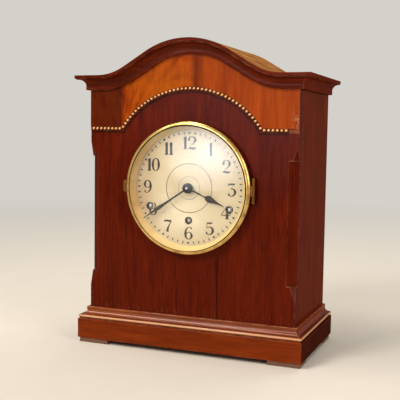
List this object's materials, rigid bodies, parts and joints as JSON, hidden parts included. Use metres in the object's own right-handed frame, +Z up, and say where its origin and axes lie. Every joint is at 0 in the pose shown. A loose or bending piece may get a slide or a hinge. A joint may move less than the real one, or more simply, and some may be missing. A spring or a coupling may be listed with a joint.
{
  "type": "mantel clock",
  "caption": "Upright mantel clock in a serpentine-topped mahogany case, with a hinged brass bezel, silvered dial, wind-up chiming pendulum movement and a rear door.",
  "frame": {"origin": "on the table, under the middle of the clock", "axes": "+Z up, the dial faces -Y, +X to the viewer's right"},
  "size_m": [0.3056, 0.1784, 0.3868],
  "materials": {
    "mahogany_front": "french polished",
    "mahogany_side": "french polished",
    "mahogany_frieze": "french polished",
    "mahogany_cornice": "french polished",
    "mahogany_plinth": "french polished",
    "polished_bead": "polished",
    "plain_wood": "oiled",
    "polished_brass": "polished",
    "silvered_dial": "silvered",
    "dial_glass": "clear",
    "blued_steel": "blued",
    "movement_brass": "satin",
    "steel": "polished",
    "iron": "black"
  },
  "bodies": {
    "case": {"front_panel": "mahogany_front", "left_side_panel": "mahogany_side", "right_side_panel": "mahogany_side", "frieze_panel": "mahogany_frieze", "roof_board": "mahogany_cornice", "cornice_front": "mahogany_cornice", "cornice_returns": "mahogany_cornice", "plinth_front": "mahogany_plinth", "plinth_returns": "mahogany_plinth", "base_moulding_front": "mahogany_plinth", "base_moulding_returns": "mahogany_plinth", "bead_moulding": "polished_bead", "base_board": "plain_wood", "pad_feet": "plain_wood", "back_top_rail": "plain_wood", "seat_board": "plain_wood", "seat_bearers": "plain_wood", "bezel_back_ring": "polished_brass", "case_hinge_leaves": "polished_brass", "dial_plate": "silvered_dial", "front_plate": "movement_brass", "back_plate": "movement_brass", "dial_pillars": "movement_brass", "plate_pillars": "movement_brass", "suspension_cock": "movement_brass", "hammer_frame": "movement_brass", "bezel_hinge_pin": "steel", "movement_bolts": "steel", "gong_rods": "steel", "gong_block": "iron"},
    "bezel": {"bezel_ring": "polished_brass", "sight_ring": "silvered_dial", "dial_glass": "dial_glass", "bezel_hinge_leaf": "polished_brass", "bezel_tab": "polished_brass"},
    "rear_door": {"back_door": "plain_wood", "door_hinge_leaves": "polished_brass", "door_knob": "polished_brass"},
    "minute_hand_set": {"minute_hand": "blued_steel", "cannon_pinion": "movement_brass"},
    "minute_wheel_set": {"minute_wheel": "movement_brass"},
    "hour_hand_set": {"hour_hand": "blued_steel", "hour_wheel": "movement_brass"},
    "third_wheel_set": {"third_wheel": "movement_brass"},
    "centre_wheel_set": {"centre_wheel": "movement_brass"},
    "intermediate_set": {"intermediate_wheel": "movement_brass"},
    "going_barrel_set": {"going_barrel": "movement_brass"},
    "escape_wheel_set": {"escape_wheel": "movement_brass"},
    "pendulum": {"pallet_anchor": "steel", "pendulum_rod": "steel", "pendulum_bob": "polished_brass"},
    "going_winder": {"going_winding_arbor": "steel"},
    "strike_winder": {"strike_winding_arbor": "steel"},
    "chime_winder": {"chime_winding_arbor": "steel"},
    "strike_barrel_set": {"strike_barrel": "movement_brass"},
    "chime_barrel_set": {"chime_barrel": "movement_brass"},
    "hammer_set_1": {"hammer_1": "steel"},
    "hammer_set_2": {"hammer_2": "steel"},
    "hammer_set_3": {"hammer_3": "steel"},
    "hammer_set_4": {"hammer_4": "steel"}
  },
  "joints": [
    {"name": "bezel_swing", "type": "hinge", "parent": "case", "child": "bezel", "pos_m": [0.0849, -0.07775, 0.2056], "axis": [0, 0, 1], "range_deg": [0, 120]},
    {"name": "rear_door_swing", "type": "hinge", "parent": "case", "child": "rear_door", "pos_m": [0.125, 0.07855, 0.2056], "axis": [0, 0, -1], "range_deg": [0, 110]},
    {"name": "minute_hand_turn", "type": "hinge", "parent": "case", "child": "minute_hand_set", "pos_m": [0, 0, 0.2056], "axis": [0, 1, 0], "continuous": true},
    {"name": "minute_wheel_turn", "type": "hinge", "parent": "case", "child": "minute_wheel_set", "pos_m": [0.01697, 0, 0.22257], "axis": [0, 1, 0], "continuous": true},
    {"name": "hour_hand_turn", "type": "hinge", "parent": "case", "child": "hour_hand_set", "pos_m": [0, 0, 0.2056], "axis": [0, 1, 0], "continuous": true},
    {"name": "third_wheel_turn", "type": "hinge", "parent": "case", "child": "third_wheel_set", "pos_m": [0.01136, 0, 0.22182], "axis": [0, 1, 0], "continuous": true},
    {"name": "centre_wheel_turn", "type": "hinge", "parent": "case", "child": "centre_wheel_set", "pos_m": [0, 0, 0.2056], "axis": [0, 1, 0], "continuous": true},
    {"name": "intermediate_turn", "type": "hinge", "parent": "case", "child": "intermediate_set", "pos_m": [-0.01499, 0, 0.19089], "axis": [0, 1, 0], "continuous": true},
    {"name": "going_barrel_turn", "type": "hinge", "parent": "case", "child": "going_barrel_set", "pos_m": [0, 0, 0.1656], "axis": [0, 1, 0], "continuous": true},
    {"name": "escape_wheel_turn", "type": "hinge", "parent": "case", "child": "escape_wheel_set", "pos_m": [0, 0, 0.2352], "axis": [0, 1, 0], "continuous": true},
    {"name": "pendulum_swing", "type": "hinge", "parent": "case", "child": "pendulum", "pos_m": [0, 0, 0.2496], "axis": [0, 1, 0], "range_deg": [-4, 4]},
    {"name": "going_winding", "type": "hinge", "parent": "case", "child": "going_winder", "pos_m": [0, 0, 0.1656], "axis": [0, 1, 0], "continuous": true},
    {"name": "strike_winding", "type": "hinge", "parent": "case", "child": "strike_winder", "pos_m": [-0.0527, 0, 0.1813], "axis": [0, 1, 0], "continuous": true},
    {"name": "chime_winding", "type": "hinge", "parent": "case", "child": "chime_winder", "pos_m": [0.0527, 0, 0.1813], "axis": [0, 1, 0], "continuous": true},
    {"name": "strike_barrel_turn", "type": "hinge", "parent": "case", "child": "strike_barrel_set", "pos_m": [-0.0527, 0, 0.1813], "axis": [0, 1, 0], "continuous": true},
    {"name": "chime_barrel_turn", "type": "hinge", "parent": "case", "child": "chime_barrel_set", "pos_m": [0.0527, 0, 0.1813], "axis": [0, 1, 0], "continuous": true},
    {"name": "hammer_1_lift", "type": "hinge", "parent": "case", "child": "hammer_set_1", "pos_m": [-0.04, 0, 0.076], "axis": [0, 1, 0], "range_deg": [0, 20]},
    {"name": "hammer_2_lift", "type": "hinge", "parent": "case", "child": "hammer_set_2", "pos_m": [-0.04, 0, 0.076], "axis": [0, 1, 0], "range_deg": [0, 20]},
    {"name": "hammer_3_lift", "type": "hinge", "parent": "case", "child": "hammer_set_3", "pos_m": [-0.04, 0, 0.076], "axis": [0, 1, 0], "range_deg": [0, 20]},
    {"name": "hammer_4_lift", "type": "hinge", "parent": "case", "child": "hammer_set_4", "pos_m": [-0.04, 0, 0.076], "axis": [0, 1, 0], "range_deg": [0, 20]}
  ],
  "couplings": [
    {"joint": "minute_wheel_turn", "follows": "minute_hand_turn", "ratio": -0.33333},
    {"joint": "hour_hand_turn", "follows": "minute_hand_turn", "ratio": 0.083333},
    {"joint": "centre_wheel_turn", "follows": "third_wheel_turn", "ratio": -0.1},
    {"joint": "intermediate_turn", "follows": "third_wheel_turn", "ratio": 0.016667},
    {"joint": "going_barrel_turn", "follows": "third_wheel_turn", "ratio": -0.0027778},
    {"joint": "escape_wheel_turn", "follows": "third_wheel_turn", "ratio": -12}
  ]
}
